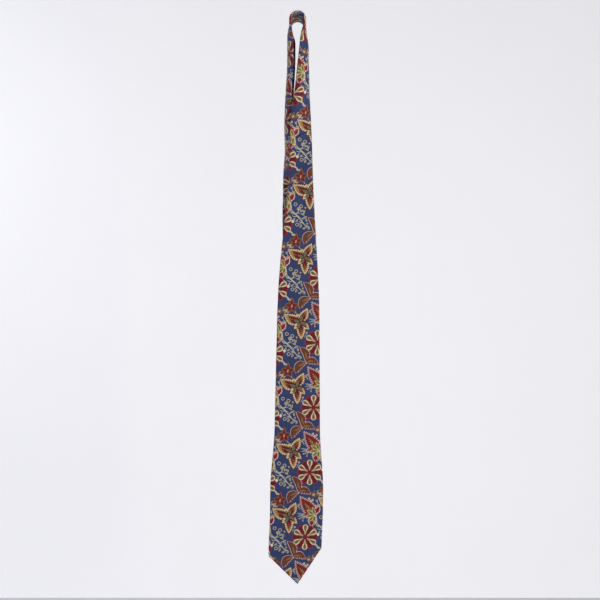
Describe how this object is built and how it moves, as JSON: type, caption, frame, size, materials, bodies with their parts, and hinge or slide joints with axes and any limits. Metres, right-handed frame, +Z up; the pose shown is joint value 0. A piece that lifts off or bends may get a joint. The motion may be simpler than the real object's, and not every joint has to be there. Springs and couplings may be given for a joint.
{
  "type": "necktie",
  "caption": "Classic pointed necktie hung doubled over a peg: wide front blade, narrow tail behind, neck band, keeper loop and tabs on the back.",
  "frame": {"origin": "axis of the peg that the neck band hangs over, at the middle of the band's width there", "axes": "+Z up along the hanging tie, -Y the printed front that faces the viewer, +X to the viewer's right"},
  "size_m": [0.0935, 0.0495, 0.9754],
  "materials": {
    "printed_silk": "printed twill silk, slight sheen",
    "wool_interlining": "brushed wool blend",
    "tipping_silk": "plain dark blue lining silk",
    "thread": "matching sewing thread",
    "label_satin": "woven satin label, blank",
    "care_tape": "printed tape, blank"
  },
  "bodies": {
    "neck": {"neck_shell": "printed_silk", "neck_interlining": "wool_interlining", "neck_slip_stitch": "thread", "front_join_seam": "printed_silk", "tail_join_seam": "printed_silk"},
    "front_blade": {"front_blade_shell": "printed_silk", "front_interlining": "wool_interlining", "front_tipping": "tipping_silk", "front_slip_stitch": "thread", "front_bar_tack": "thread", "front_tipping_stitches": "thread", "keeper_loop": "printed_silk", "keeper_tacks": "thread", "maker_label": "label_satin", "maker_label_stitches": "thread", "care_label_stitches": "thread"},
    "care_tab": {"care_label": "care_tape"},
    "tail_blade": {"tail_blade_shell": "printed_silk", "tail_interlining": "wool_interlining", "tail_tipping": "tipping_silk", "tail_slip_stitch": "thread", "tail_bar_tack": "thread", "tail_tipping_stitches": "thread"}
  },
  "joints": [
    {"name": "front_lift", "type": "hinge", "parent": "neck", "child": "front_blade", "pos_m": [0.0057, -0.0088, -0.24], "axis": [-1, 0, 0], "range_deg": [0, 80]},
    {"name": "tail_swing", "type": "hinge", "parent": "neck", "child": "tail_blade", "pos_m": [-0.018, 0.0037, -0.07], "axis": [0, 1, 0], "range_deg": [0, 70]},
    {"name": "care_flip", "type": "hinge", "parent": "front_blade", "child": "care_tab", "pos_m": [0.0002, -0.00405, -0.61], "axis": [1, 0, 0], "range_deg": [0, 140]}
  ]
}
